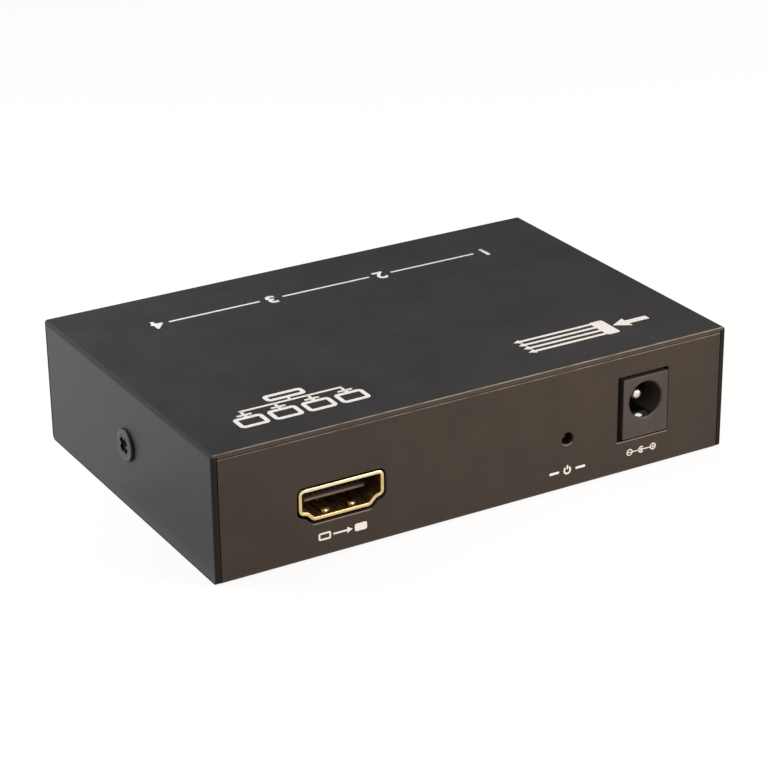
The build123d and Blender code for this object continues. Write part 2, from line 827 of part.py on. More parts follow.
def leg_rows(leg, count, pitch, distance, turns):
    legs = []
    for turn in turns:
        for i in range(count):
            legs.append(Rot(0, 0, turn) * Pos((i - (count - 1) / 2) * pitch, distance, 0) * leg)
    return group(legs)


def make_splitter_chip():
    body = chip_body(splitter_chip_size, splitter_chip_size, splitter_chip_height)
    return copies_on_board(body, [(0, splitter_chip_y)])


def make_splitter_chip_legs():
    leg = gull_leg(splitter_leg_width, splitter_chip_height, splitter_leg_span)
    edge = splitter_chip_size / 2
    legs = leg_rows(leg, splitter_legs_per_side, splitter_leg_pitch, edge, (0, 90, 180, 270))
    return copies_on_board(legs, [(0, splitter_chip_y)])


def make_thermal_pad():
    top = board_top + chip_lift + splitter_chip_height
    size = splitter_chip_size - 2 * thermal_pad_inset
    return slab(0, splitter_chip_y, top, size, size, thermal_pad_thickness)


def make_heat_sink():
    base = board_top + chip_lift + splitter_chip_height + thermal_pad_thickness
    body = slab(0, splitter_chip_y, base, heat_sink_size, heat_sink_size, heat_sink_height)
    gap = (heat_sink_size - heat_sink_fins * heat_sink_fin) / (heat_sink_fins - 1)
    top = heat_sink_height - heat_sink_base + cut_overrun
    for i in range(heat_sink_fins - 1):
        x = -heat_sink_size / 2 + (i + 1) * heat_sink_fin + (i + 1 / 2) * gap
        length = heat_sink_size + 2 * cut_overrun
        body -= slab(x, splitter_chip_y, base + heat_sink_base, gap, length, top)
    return body


def make_controller_chip():
    body = chip_body(controller_size, controller_size, controller_height)
    return copies_on_board(body, [(controller_x, controller_y)])


def make_controller_chip_legs():
    leg = gull_leg(controller_leg_width, controller_height, splitter_leg_span)
    edge = controller_size / 2
    legs = leg_rows(leg, controller_legs_per_side, controller_leg_pitch, edge, (0, 90, 180, 270))
    return copies_on_board(legs, [(controller_x, controller_y)])


def make_memory_chips():
    body = chip_body(memory_length, memory_width, memory_height)
    return copies_on_board(body, [(memory_x, y) for y in memory_rows])


def make_memory_chip_legs():
    leg = gull_leg(memory_leg_width, memory_height, splitter_leg_span)
    legs = leg_rows(leg, memory_legs_per_side, memory_leg_pitch, memory_width / 2, (0, 180))
    return copies_on_board(legs, [(memory_x, y) for y in memory_rows])


# Power parts


def make_voltage_regulators():
    body = chip_body(regulator_length, regulator_width, regulator_height)
    return copies_on_board(body, [(regulator_x, y) for y in regulator_rows])


def make_regulator_legs():
    reach_y = (regulator_width + regulator_leg_reach) / 2
    pieces = []
    for i in (-1, 0, 1):
        x = i * regulator_leg_pitch
        leg = slab(x, -reach_y, 0, regulator_leg_width, regulator_leg_reach, regulator_leg_thickness)
        pieces.append(leg)
    pieces.append(slab(0, reach_y, 0, regulator_tab_width, regulator_leg_reach, regulator_leg_thickness))
    return copies_on_board(group(pieces), [(regulator_x, y) for y in regulator_rows])


def make_power_inductor():
    body = slab(jack_x, inductor_y, board_top, inductor_size, inductor_size, inductor_height)
    body = fillet(body.edges().filter_by(Axis.Z), inductor_round)
    return chamfer(body.edges().group_by(Axis.Z)[-1], inductor_chamfer)


def make_capacitor_cans():
    can = Cylinder(can_radius, can_height, align=on_floor)
    can = fillet(can.edges().group_by(Axis.Z)[-1], can_round)
    ring_low = can_groove_height - can_groove
    ring = rod_up(0, 0, ring_low, can_radius + cut_overrun, 2 * can_groove)
    ring -= rod_up(0, 0, ring_low, can_radius - can_groove, 2 * can_groove)
    can = Pos(0, 0, can_base_height) * (can - ring)
    return copies_on_board(can, can_places)


def make_capacitor_bases():
    base = Box(can_base_size, can_base_size, can_base_height, align=on_floor)
    base = chamfer(base.edges().filter_by(Axis.Z).sort_by(Axis.X)[2:4], can_base_chamfer)
    return copies_on_board(base, can_places)


def make_input_diode():
    body = slab(0, 0, chip_lift, diode_length, diode_width, diode_height)
    body = chamfer(body.edges().group_by(Axis.Z)[-1], chip_lift)
    return copies_on_board(body, [(jack_x, diode_y)])


def make_diode_tabs():
    reach = (diode_length + diode_tab_length) / 2
    tab = slab(0, 0, 0, diode_tab_length, diode_tab_width, diode_tab_height)
    tabs = [Pos(side * reach, 0, 0) * tab for side in (-1, 1)]
    return copies_on_board(group(tabs), [(jack_x, diode_y)])


def make_resettable_fuse():
    return slab(far_can_x, fuse_y, board_top, fuse_length, fuse_width, fuse_height)


def make_crystal():
    can = slab(crystal_x, crystal_y, board_top, crystal_length, crystal_width, crystal_height)
    return fillet(can.edges().filter_by(Axis.Z), crystal_round)


# Small chip parts


def protection_array_places():
    places = []
    for x, mouth, turn in socket_places():
        y = mouth + turn * (insulator_end + contact_foot + array_setback)
        places += [(x - array_spacing / 2, y), (x + array_spacing / 2, y)]
    return places


def coupling_places():
    places = []
    for x, mouth, turn in socket_places():
        y = mouth + turn * (insulator_end + contact_foot + coupling_setback)
        middle = (coupling_per_socket - 1) / 2
        places += [(x + (i - middle) * coupling_spacing, y) for i in range(coupling_per_socket)]
    return places


def decoupling_places():
    middle = (decoupling_count - 1) / 2
    run = [splitter_chip_y + (i - middle) * decoupling_spacing for i in range(decoupling_count)]
    return [(x, y) for x in (-decoupling_x, decoupling_x) for y in run]


def pullup_places():
    middle = (pullup_count - 1) / 2
    return [(controller_x + (i - middle) * pullup_spacing, pullup_y) for i in range(pullup_count)]


def make_protection_arrays():
    array = Box(array_length, array_width, array_height, align=on_floor)
    return copies_on_board(array, protection_array_places())


# A small part stands along Y between its two metal ends
def chip_part_body(height):
    return Box(chip_part_width, chip_part_length - 2 * chip_end, height, align=on_floor)


def chip_part_ends(height):
    reach = (chip_part_length - chip_end) / 2
    return group([slab(0, side * reach, 0, chip_part_width, chip_end, height) for side in (-1, 1)])


def make_all():
    contacts = make_socket_contacts()
    socket = {
        "shell": make_socket_shell(),
        "insulator": make_socket_insulator(contacts),
        "contacts": contacts,
    }
    parts = {
        "top_cover": make_top_cover(),
        "base_tray": make_base_tray(),
        "side_screws": make_side_screws(),
        "board_standoffs": make_board_standoffs(),
        "board_screws": make_board_screws(),
        "circuit_board": make_circuit_board(),
    }
    names = ["input_socket"] + ["output_socket_%d" % (i + 1) for i in range(output_count)]
    for name, place in zip(names, socket_places()):
        for piece, shape in socket.items():
            parts[name + "_" + piece] = place_socket(shape, place)
    parts.update({
        "dc_jack_housing": make_jack_housing(),
        "dc_jack_pin": make_jack_pin(),
        "dc_jack_pin_terminal": make_jack_pin_terminal(),
        "dc_jack_sleeve_leaf": make_jack_sleeve_leaf(),
        "dc_jack_sleeve_terminal": make_jack_sleeve_terminal(),
        "dc_jack_switch_terminal": make_jack_switch_terminal(),
        "power_led": make_power_led(),
        "power_led_leads": make_power_led_leads(),
        "power_led_holder": make_power_led_holder(),
        "splitter_chip": make_splitter_chip(),
        "splitter_chip_legs": make_splitter_chip_legs(),
        "thermal_pad": make_thermal_pad(),
        "heat_sink": make_heat_sink(),
        "controller_chip": make_controller_chip(),
        "controller_chip_legs": make_controller_chip_legs(),
        "memory_chips": make_memory_chips(),
        "memory_chip_legs": make_memory_chip_legs(),
        "voltage_regulators": make_voltage_regulators(),
        "regulator_legs": make_regulator_legs(),
        "power_inductor": make_power_inductor(),
        "capacitor_cans": make_capacitor_cans(),
        "capacitor_bases": make_capacitor_bases(),
        "input_diode": make_input_diode(),
        "diode_tabs": make_diode_tabs(),
        "resettable_fuse": make_resettable_fuse(),
        "crystal": make_crystal(),
        "protection_arrays": make_protection_arrays(),
        "coupling_capacitors": copies_on_board(chip_part_body(capacitor_height), coupling_places()),
        "coupling_capacitor_ends": copies_on_board(chip_part_ends(capacitor_height), coupling_places()),
        "decoupling_capacitors": copies_on_board(chip_part_body(capacitor_height), decoupling_places()),
        "decoupling_capacitor_ends": copies_on_board(chip_part_ends(capacitor_height), decoupling_places()),
        "pullup_resistors": copies_on_board(chip_part_body(resistor_height), pullup_places()),
        "pullup_resistor_ends": copies_on_board(chip_part_ends(resistor_height), pullup_places()),
    })
    return parts


os.makedirs("parts", exist_ok=True)
for name, shape in make_all().items():
    export_step(shape, os.path.join("parts", name + ".step"))
print("leaf pivot", jack_x, leaf_pivot_y, leaf_pivot_z)
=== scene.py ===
import json
import math

import bpy
from mathutils import Matrix, Vector


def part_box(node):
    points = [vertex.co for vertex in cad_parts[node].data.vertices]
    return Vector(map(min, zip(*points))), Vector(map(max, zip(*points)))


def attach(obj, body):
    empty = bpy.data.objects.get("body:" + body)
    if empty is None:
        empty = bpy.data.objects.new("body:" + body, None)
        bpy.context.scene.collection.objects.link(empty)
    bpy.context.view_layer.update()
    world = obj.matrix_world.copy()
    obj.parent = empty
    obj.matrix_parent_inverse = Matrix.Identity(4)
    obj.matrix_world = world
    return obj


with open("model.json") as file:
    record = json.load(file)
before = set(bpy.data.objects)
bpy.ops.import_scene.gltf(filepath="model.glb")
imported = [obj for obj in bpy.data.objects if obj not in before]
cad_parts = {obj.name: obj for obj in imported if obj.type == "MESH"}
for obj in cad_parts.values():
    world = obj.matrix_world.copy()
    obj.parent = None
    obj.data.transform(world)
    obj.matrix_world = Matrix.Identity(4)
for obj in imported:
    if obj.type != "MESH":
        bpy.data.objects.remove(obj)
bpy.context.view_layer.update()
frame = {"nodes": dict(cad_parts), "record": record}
mm = 0.001
slotOfNode = {part["node"]: part["material_slot"] for part in frame["record"]["subparts"]}


# one socket of a shader, so that masks are written as sums
class Wire:
    def __init__(self, paint, socket):
        self.paint = paint
        self.socket = socket

    def math(self, operation, first, second):
        return self.paint.node("ShaderNodeMath", {"operation": operation}, {0: first, 1: second})["Value"]

    def __add__(self, other):
        return self.math("ADD", self, other)

    def __radd__(self, other):
        return self.math("ADD", other, self)

    def __sub__(self, other):
        return self.math("SUBTRACT", self, other)

    def __rsub__(self, other):
        return self.math("SUBTRACT", other, self)

    def __mul__(self, other):
        return self.math("MULTIPLY", self, other)

    def __rmul__(self, other):
        return self.math("MULTIPLY", other, self)

    def __or__(self, other):
        return self.math("MAXIMUM", self, other)

    def __gt__(self, other):
        return self.math("GREATER_THAN", self, other)

    def __lt__(self, other):
        return self.math("LESS_THAN", self, other)


# a material and the nodes that are added to it
class Paint:
    def __init__(self, name):
        self.material = bpy.data.materials.new(name)
        self.material.use_nodes = True
        self.tree = self.material.node_tree
        self.tree.nodes.clear()
        self.place = self.node("ShaderNodeTexCoord")["Object"]

    def node(self, kind, settings=None, values=None):
        made = self.tree.nodes.new(kind)
        for name, value in (settings or {}).items():
            setattr(made, name, value)
        for name, value in (values or {}).items():
            if isinstance(value, Wire):
                self.tree.links.new(value.socket, made.inputs[name])
            else:
                made.inputs[name].default_value = value
        return {output.name: Wire(self, output) for output in made.outputs if output.enabled}

    def axes(self):
        return self.node("ShaderNodeSeparateXYZ", {}, {"Vector": self.place})

    def noise(self, size, detail=3.0, roughness=0.55):
        values = {"Vector": self.place, "Scale": 1 / size, "Detail": detail, "Roughness": roughness}
        return self.node("ShaderNodeTexNoise", {}, values)["Fac"]

    # noise drawn out into streaks, from its scale along each axis
    def streaks(self, scale):
        stretched = self.node("ShaderNodeMapping", {}, {"Vector": self.place, "Scale": scale})["Vector"]
        return self.node("ShaderNodeTexNoise", {}, {"Vector": stretched, "Scale": 1.0, "Detail": 3.0})["Fac"]

    # a wire read between two levels, as 0 to 1 or as another stretch
    def between(self, wire, low, high, outLow=0.0, outHigh=1.0):
        values = {"Value": wire, "From Min": low, "From Max": high, "To Min": outLow, "To Max": outHigh}
        return self.node("ShaderNodeMapRange", {"clamp": True}, values)["Result"]

    def blend(self, factor, first, second):
        return self.node("ShaderNodeMix", {"data_type": "RGBA"}, {0: factor, 6: first, 7: second})["Result"]

    def bump(self, height, strength, distance):
        values = {"Height": height, "Strength": strength, "Distance": distance}
        return self.node("ShaderNodeBump", {}, values)["Normal"]

    # a Principled shader, its sockets' names given with underscores for spaces
    def principled(self, **sockets):
        values = {name.replace("_", " "): value for name, value in sockets.items()}
        return self.node("ShaderNodeBsdfPrincipled", {}, values)["BSDF"]

    def close(self, surface):
        self.node("ShaderNodeOutputMaterial", {}, {"Surface": surface})
        return self.material

    def finish(self, **sockets):
        return self.close(self.principled(**sockets))


# the world's nodes, made in the same way
class Room(Paint):
    def __init__(self, name):
        world = bpy.data.worlds.new(name)
        bpy.context.scene.world = world
        world.use_nodes = True
        self.tree = world.node_tree
        self.tree.nodes.clear()


# the stretch of a noise that is spread over the whole of what it feeds: the narrower, the stronger
narrowNoise = (0.4, 0.6)
middleNoise = (0.35, 0.65)
wideNoise = (0.3, 0.7)


def shade(red, green, blue):
    return (red, green, blue, 1.0)


# 1 between two places along a wire, else 0
def within(wire, low, high):
    return (wire > low) * (wire < high)


# 1 within a depth of either end of a stretch, else 0
def nearEnds(wire, low, high, depth):
    return (wire < low + depth) + (wire > high - depth)


# the cover's black coat gets a painted shade at its foot, flange ends and bends, a painted warm light on its
# cut ends, and a pale top edge that is wear and a painted highlight
coverCoat = {
    "colour": shade(0.0285, 0.0285, 0.031),
    "paler": shade(0.036, 0.036, 0.039),
    "bareHighlight": shade(0.26, 0.23, 0.195),
    "paintedShade": shade(0.0175, 0.0153, 0.0133),
    "shadedFootHeight": 0.2 * mm,
    "cut": shade(0.043, 0.0345, 0.0275),
    "cutDepth": 0.02 * mm,
    "bend": shade(0.018, 0.0175, 0.018),
    "bendWidth": 0.3 * mm,
    "bendDepth": (0.4 * mm, 1.0 * mm),
    "bendRougher": 0.25,
    "flangeDepth": 0.6 * mm,
    "flangeWidth": 1.0 * mm,
    "flangeTop": 0.5 * mm,
    "grain": 0.42 * mm,
    "mottle": 9 * mm,
    "roughness": (0.46, 0.58),
    "bumpStrength": 0.22,
    "bumpHeight": 0.035 * mm,
    "specular": 0.31,
}

# a lip, which gets a painted highlight: the node whose middle it shares, its end of the case, half its width,
# its bottom and its top
trayCoat = {
    # the tray's black coat is tinted warm as painted light from the front
    "colour": shade(0.036, 0.029, 0.0235),
    "paler": shade(0.047, 0.0383, 0.0315),
    "bareHighlight": shade(0.20, 0.17, 0.14),
    "paintedShade": shade(0.017, 0.0135, 0.0115),
    "shadedFootHeight": 0.34 * mm,
    "lipHighlight": shade(0.22, 0.20, 0.178),
    "lipDepth": (0.005 * mm, 0.19 * mm),
    "lips": (
        ("input_socket_shell", "front", 10.5 * mm, 5.5 * mm, 6.17 * mm),
        ("dc_jack_housing", "front", 6 * mm, 5.5 * mm, 5.86 * mm),
        ("power_led", "front", 1.5 * mm, 7.8 * mm, 8.35 * mm),
        ("base_tray", "back", 45 * mm, 5.5 * mm, 6.17 * mm),
    ),
    "grain": 0.38 * mm,
    "mottle": 7 * mm,
    "roughness": (0.5, 0.62),
    "bumpStrength": 0.25,
    "bumpHeight": 0.035 * mm,
    "specular": 0.2,
}

# what both coats share
coatWear = {
    "speckShare": 0.6,
    "speckLevels": (0.62, 0.72),
    "speckWeight": 0.4,
    "driftWeight": 0.6,
    "roughLevels": (0.45, 1.05),
    "wearAndHighlightWidth": 0.13 * mm,
    "wearAndHighlightPatch": 3 * mm,
    "patchLevels": (0.3, 0.6),
    "patchLeast": 0.35,
    "dullRoughness": 0.8,
    "dullSpecular": 0.08,
}


# the cover's bends and cut ends: the colour with a painted shade along the bends and a painted warm light on
# the cut ends laid over it, the bends' mask, and the mask of the flanges' ends, which get a painted shade
def coverEdges(paint, axes, low, high, colour):
    cutFace = nearEnds(axes["Y"], low.y, high.y, coverCoat["cutDepth"])
    colour = paint.blend(cutFace, colour, coverCoat["cut"])
    sharp, faded = coverCoat["bendDepth"]
    bend = nearEnds(axes["X"], low.x, high.x, coverCoat["bendWidth"]) * paint.between(
        high.z - axes["Z"], sharp, faded, 1.0, 0.0)
    flangeShade = nearEnds(axes["Y"], low.y, high.y, coverCoat["flangeDepth"]) * nearEnds(
        axes["X"], low.x, high.x, coverCoat["flangeWidth"]) * (axes["Z"] < high.z - coverCoat["flangeTop"])
    return paint.blend(bend, colour, coverCoat["bend"]), bend, flangeShade


# a painted highlight on the bevels along the lower edges of the tray's cut-outs
def trayLips(paint, axes, low, high, colour):
    near, far = trayCoat["lipDepth"]
    bevels = {"front": within(axes["Y"], low.y + near, low.y + far),
              "back": within(axes["Y"], high.y - far, high.y - near)}
    for node, end, half, bottom, top in trayCoat["lips"]:
        left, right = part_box(node)
        middle = (left.x + right.x) / 2
        lipHighlight = within(axes["X"], middle - half, middle + half) * within(axes["Z"], bottom, top)
        colour = paint.blend(bevels[end] * lipHighlight, colour, trayCoat["lipHighlight"])
    return colour


# fine powder coat: small pebbles over a slow drift in tone, paler along its upper front and back edges as
# wear and a painted highlight, with a painted shade along its foot
def powderCoat(name, coat, node):
    paint = Paint(name)
    low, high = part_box(node)
    axes = paint.axes()
    pebbles = paint.noise(coat["grain"], 2.0, 0.5)
    drift = paint.noise(coat["mottle"], 4.0)
    specks = paint.between(paint.noise(coat["grain"] * coatWear["speckShare"], 1.0), *coatWear["speckLevels"])
    tone = paint.between(drift, *middleNoise) * coatWear["driftWeight"] + specks * coatWear["speckWeight"]
    colour = paint.blend(tone, coat["colour"], coat["paler"])
    rough = paint.between(pebbles + drift * 0.5, *coatWear["roughLevels"], *coat["roughness"])
    # a painted shade: a dark matt coat along the foot, and on the cover at the flanges' front and back ends
    thin = axes["Z"] < low.z + coat["shadedFootHeight"]
    if coat is coverCoat:
        colour, bend, flangeShade = coverEdges(paint, axes, low, high, colour)
        rough = rough + bend * coat["bendRougher"]
        thin = paint.between(thin + flangeShade, 0.0, 1.0)
    if coat is trayCoat:
        colour = trayLips(paint, axes, low, high, colour)
    edge = coatWear["wearAndHighlightWidth"]
    patches = paint.noise(coatWear["wearAndHighlightPatch"])
    uneven = paint.between(patches, *coatWear["patchLevels"], coatWear["patchLeast"], 1.0)
    wearAndHighlight = nearEnds(axes["Y"], low.y, high.y, edge) * (axes["Z"] > high.z - edge) * uneven
    surface = paint.principled(
        Base_Color=paint.blend(wearAndHighlight, colour, coat["bareHighlight"]),
        Roughness=rough,
        Specular_IOR_Level=coat["specular"],
        Normal=paint.bump(pebbles, coat["bumpStrength"], coat["bumpHeight"]),
    )
    paintedShade = paint.principled(
        Base_Color=coat["paintedShade"],
        Roughness=coatWear["dullRoughness"],
        Specular_IOR_Level=coatWear["dullSpecular"],
    )
    return paint.close(paint.node("ShaderNodeMixShader", {}, {0: thin, 1: surface, 2: paintedShade})["Shader"])


goldPlate = {
    "colour": shade(0.76, 0.565, 0.295),
    "deeper": shade(0.64, 0.45, 0.215),
    "streak": (700, 160, 700),
    "roughness": (0.22, 0.34),
    "rim": shade(0.80, 0.69, 0.45),
    "rimHeight": 0.55 * mm,
    "rimDepth": 0.4 * mm,
}

pinPlate = {
    "colour": shade(0.84, 0.83, 0.81),
    "deeper": shade(0.62, 0.61, 0.59),
    "streak": (300, 1600, 300),
    "roughness": (0.16, 0.34),
}

tinPlate = {
    "colour": shade(0.72, 0.72, 0.70),
    "deeper": shade(0.50, 0.50, 0.49),
    "streak": (500, 500, 1400),
    "roughness": (0.28, 0.5),
}

zincSteel = {
    "colour": shade(0.62, 0.62, 0.60),
    "deeper": shade(0.40, 0.40, 0.40),
    "streak": (900, 900, 300),
    "roughness": (0.3, 0.5),
}

drawnAluminium = {
    "colour": shade(0.80, 0.80, 0.81),
    "deeper": shade(0.62, 0.62, 0.63),
    "streak": (200, 200, 1500),
    "roughness": (0.25, 0.42),
}

# what all plated and drawn metal shares
drawnMarks = {"stain": 2.4 * mm, "levels": (0.4, 0.62), "bumpStrength": 0.08, "bumpHeight": 0.006 * mm}


# plated metal: drawing streaks and slow stains, the sockets' rims paler along the top as a painted highlight
def platedMetal(name, plate):
    paint = Paint(name)
    streaks = paint.streaks(plate["streak"])
    stains = paint.noise(drawnMarks["stain"], 4.0)
    marks = paint.between(streaks * 0.5 + stains * 0.5, *drawnMarks["levels"])
    colour = paint.blend(marks, plate["colour"], plate["deeper"])
    if "rim" in plate:
        axes = paint.axes()
        low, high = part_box("input_socket_shell")
        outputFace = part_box("output_socket_1_shell")[1].y
        atFace = nearEnds(axes["Y"], low.y, outputFace, plate["rimDepth"])
        colour = paint.blend(atFace * (axes["Z"] > high.z - plate["rimHeight"]), colour, plate["rim"])
    return paint.finish(
        Base_Color=colour,
        Metallic=1.0,
        Roughness=paint.between(streaks, *middleNoise, *plate["roughness"]),
        Normal=paint.bump(streaks, drawnMarks["bumpStrength"], drawnMarks["bumpHeight"]),
    )


leafBronze = {
    "paintedShade": shade(0.038, 0.036, 0.034),
    "paintedGlint": shade(0.95, 0.94, 0.91),
    "spot": (-0.6 * mm, 0.2 * mm),
    "reach": (0.75 * mm, 0.42 * mm),
    "fadeShares": (0.5, 1.1),
    "scratch": 0.3 * mm,
    "roughness": (0.36, 0.5),
    "bumpStrength": 0.1,
    "bumpHeight": 0.01 * mm,
}


# spring bronze, painted dark as the shade inside the jack's bore, with a painted glint in a spot near its tip
def bronzeWithGlint(name):
    paint = Paint(name)
    low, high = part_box("dc_jack_sleeve_leaf")
    axes = paint.axes()
    aside, deep = leafBronze["spot"]
    across, along = leafBronze["reach"]
    x = (axes["X"] - ((low.x + high.x) / 2 + aside)) * (1 / across)
    y = (axes["Y"] - (low.y + deep)) * (1 / along)
    wearAndHighlight = paint.between(x * x + y * y, *leafBronze["fadeShares"], 1.0, 0.0)
    scratches = paint.noise(leafBronze["scratch"])
    return paint.finish(
        Base_Color=paint.blend(wearAndHighlight, leafBronze["paintedShade"], leafBronze["paintedGlint"]),
        Metallic=1.0,
        Roughness=paint.between(scratches, *middleNoise, *leafBronze["roughness"]),
        Normal=paint.bump(scratches, leafBronze["bumpStrength"], leafBronze["bumpHeight"]),
    )


mouldings = {
    "black_nylon": {"colour": shade(0.034, 0.032, 0.030), "worn": shade(0.055, 0.052, 0.049),
                    "grain": 0.25 * mm, "roughness": (0.5, 0.62), "specular": 0.12},
    # the jack's black plastic is tinted warm as painted light from the front
    "jack_plastic": {"colour": shade(0.038, 0.030, 0.0245), "worn": shade(0.054, 0.044, 0.0365),
                     "grain": 0.5 * mm, "roughness": (0.34, 0.48), "specular": 0.4},
    "chip_black": {"colour": shade(0.03, 0.03, 0.032), "worn": shade(0.05, 0.05, 0.052), "grain": 0.12 * mm,
                   "roughness": (0.5, 0.7), "specular": 0.45},
    "ferrite": {"colour": shade(0.06, 0.06, 0.062), "worn": shade(0.11, 0.11, 0.11), "grain": 0.2 * mm,
                "roughness": (0.55, 0.8), "specular": 0.45},
    "ceramic_tan": {"colour": shade(0.36, 0.21, 0.10), "worn": shade(0.46, 0.30, 0.16), "grain": 0.15 * mm,
                    "roughness": (0.4, 0.6), "specular": 0.45},
    "resistor_black": {"colour": shade(0.02, 0.02, 0.024), "worn": shade(0.04, 0.04, 0.045),
                       "grain": 0.15 * mm, "roughness": (0.25, 0.4), "specular": 0.45},
    "fuse_green": {"colour": shade(0.05, 0.12, 0.05), "worn": shade(0.09, 0.17, 0.08), "grain": 0.2 * mm,
                   "roughness": (0.4, 0.6), "specular": 0.45},
    "thermal_rubber": {"colour": shade(0.20, 0.26, 0.32), "worn": shade(0.28, 0.33, 0.38), "grain": 0.3 * mm,
                       "roughness": (0.7, 0.85), "specular": 0.45},
}

# the skin that every mould leaves, and the size of its clouds in grains
mouldSkin = {"cloudGrains": 12, "cloudWeight": 0.7, "grainWeight": 0.3, "levels": (0.42, 0.62),
             "bumpStrength": 0.15, "bumpHeight": 0.02 * mm}


# moulded or fired piece: faint cloudiness and a spark-eroded surface
def moulding(name, mould):
    paint = Paint(name)
    grains = paint.noise(mould["grain"], 2.0)
    clouds = paint.noise(mould["grain"] * mouldSkin["cloudGrains"])
    worn = clouds * mouldSkin["cloudWeight"] + grains * mouldSkin["grainWeight"]
    return paint.finish(
        Base_Color=paint.blend(paint.between(worn, *mouldSkin["levels"]), mould["colour"], mould["worn"]),
        Roughness=paint.between(grains, *middleNoise, *mould["roughness"]),
        Specular_IOR_Level=mould["specular"],
        Normal=paint.bump(grains, mouldSkin["bumpStrength"], mouldSkin["bumpHeight"]),
    )


socketNylon = {
    "colour": shade(0.03, 0.028, 0.026),
    "wearAndHighlight": shade(0.20, 0.165, 0.14),
    "wearAndHighlightDepth": 0.12 * mm,
    "wearAndHighlightLevels": (0.3, 0.6),
    "wearAndHighlightLeast": 0.55,
    "grain": 0.2 * mm,
    "roughness": (0.5, 0.62),
    "specular": 0.12,
}


# the nylon of a video socket, its tongue's front edge paler as a painted highlight
def tongueNylon(name):
    paint = Paint(name)
    grains = paint.noise(socketNylon["grain"], 2.0)
    axes = paint.axes()
    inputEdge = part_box("input_socket_insulator")[0].y
    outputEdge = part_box("output_socket_1_insulator")[1].y
    depth = socketNylon["wearAndHighlightDepth"]
    tip = max(point.co.z for point in frame["nodes"]["input_socket_insulator"].data.vertices
              if point.co.y < inputEdge + depth)
    uneven = paint.between(grains, *socketNylon["wearAndHighlightLevels"], socketNylon["wearAndHighlightLeast"], 1.0)
    wearAndHighlight = nearEnds(axes["Y"], inputEdge, outputEdge, depth) * (axes["Z"] < tip) * uneven
    return paint.finish(
        Base_Color=paint.blend(wearAndHighlight, socketNylon["colour"], socketNylon["wearAndHighlight"]),
        Roughness=paint.between(grains, *middleNoise, *socketNylon["roughness"]),
        Specular_IOR_Level=socketNylon["specular"],
        Normal=paint.bump(grains, mouldSkin["bumpStrength"], mouldSkin["bumpHeight"]),
    )


screwSteel = {
    "colour": shade(0.032, 0.032, 0.033),
    "bareHighlight": shade(0.12, 0.118, 0.115),
    "shaded": shade(0.006, 0.006, 0.006),
    "grain": 0.3 * mm,
    "wornLevels": (0.55, 0.75),
    "faceDepth": 0.07 * mm,
    "recessShare": 0.62,
    "flankShare": 0.97,
    "ringShares": (0.76, 0.9),
    "ringHighlight": 0.25,
    "metal": 0.35,
    "roughness": (0.48, 0.34),
    "bumpStrength": 0.15,
    "bumpHeight": 0.015 * mm,
}


# blackened screw steel, a little worn, with a painted shade in its recess and round its flank, and a painted
# highlight in a ring near the head's edge
def blackSteel(name):
    paint = Paint(name)
    low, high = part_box("side_screws")
    middle = (low + high) / 2
    radius = (high.z - low.z) / 2
    axes = paint.axes()
    y = axes["Y"] - middle.y
    z = axes["Z"] - middle.z
    outward = (y * y + z * z) * (1 / radius ** 2)  # the square of the share of the head's radius
    depth = screwSteel["faceDepth"]
    shadedRecess = within(axes["X"], low.x + depth, high.x - depth) * (outward < screwSteel["recessShare"] ** 2)
    shadedFlank = outward > screwSteel["flankShare"] ** 2
    inner, outer = screwSteel["ringShares"]
    ring = within(outward, inner ** 2, outer ** 2)
    worn = paint.between(paint.noise(screwSteel["grain"], 4.0), *screwSteel["wornLevels"])
    wearAndHighlight = worn * (0.5 + ring * 0.5) + ring * screwSteel["ringHighlight"]
    colour = paint.blend(wearAndHighlight, screwSteel["colour"], screwSteel["bareHighlight"])
    return paint.finish(
        Base_Color=paint.blend(shadedRecess + shadedFlank, colour, screwSteel["shaded"]),
        Metallic=screwSteel["metal"],
        Roughness=paint.between(wearAndHighlight, 0.0, 1.0, *screwSteel["roughness"]),
        Normal=paint.bump(wearAndHighlight, screwSteel["bumpStrength"], screwSteel["bumpHeight"]),
    )


solderMask = {
    "mask": shade(0.006, 0.034, 0.016),
    "track": shade(0.012, 0.058, 0.026),
    "weave": shade(0.009, 0.044, 0.02),
    "weaveSize": 0.5 * mm,
    "weaveRelief": 0.2,
    "trackPitch": 5.4 * mm,
    "trackShare": 0.04,
    "trackSoftness": 0.1,
    "trackOffset": 0.37,
    "shadedFrontEdge": shade(0.006, 0.008, 0.006),
    "shadedFrontWidth": 1.5 * mm,
    "roughness": (0.28, 0.4),
    "gloss": 0.4,
    "bumpStrength": 0.3,
    "bumpHeight": 0.03 * mm,
}


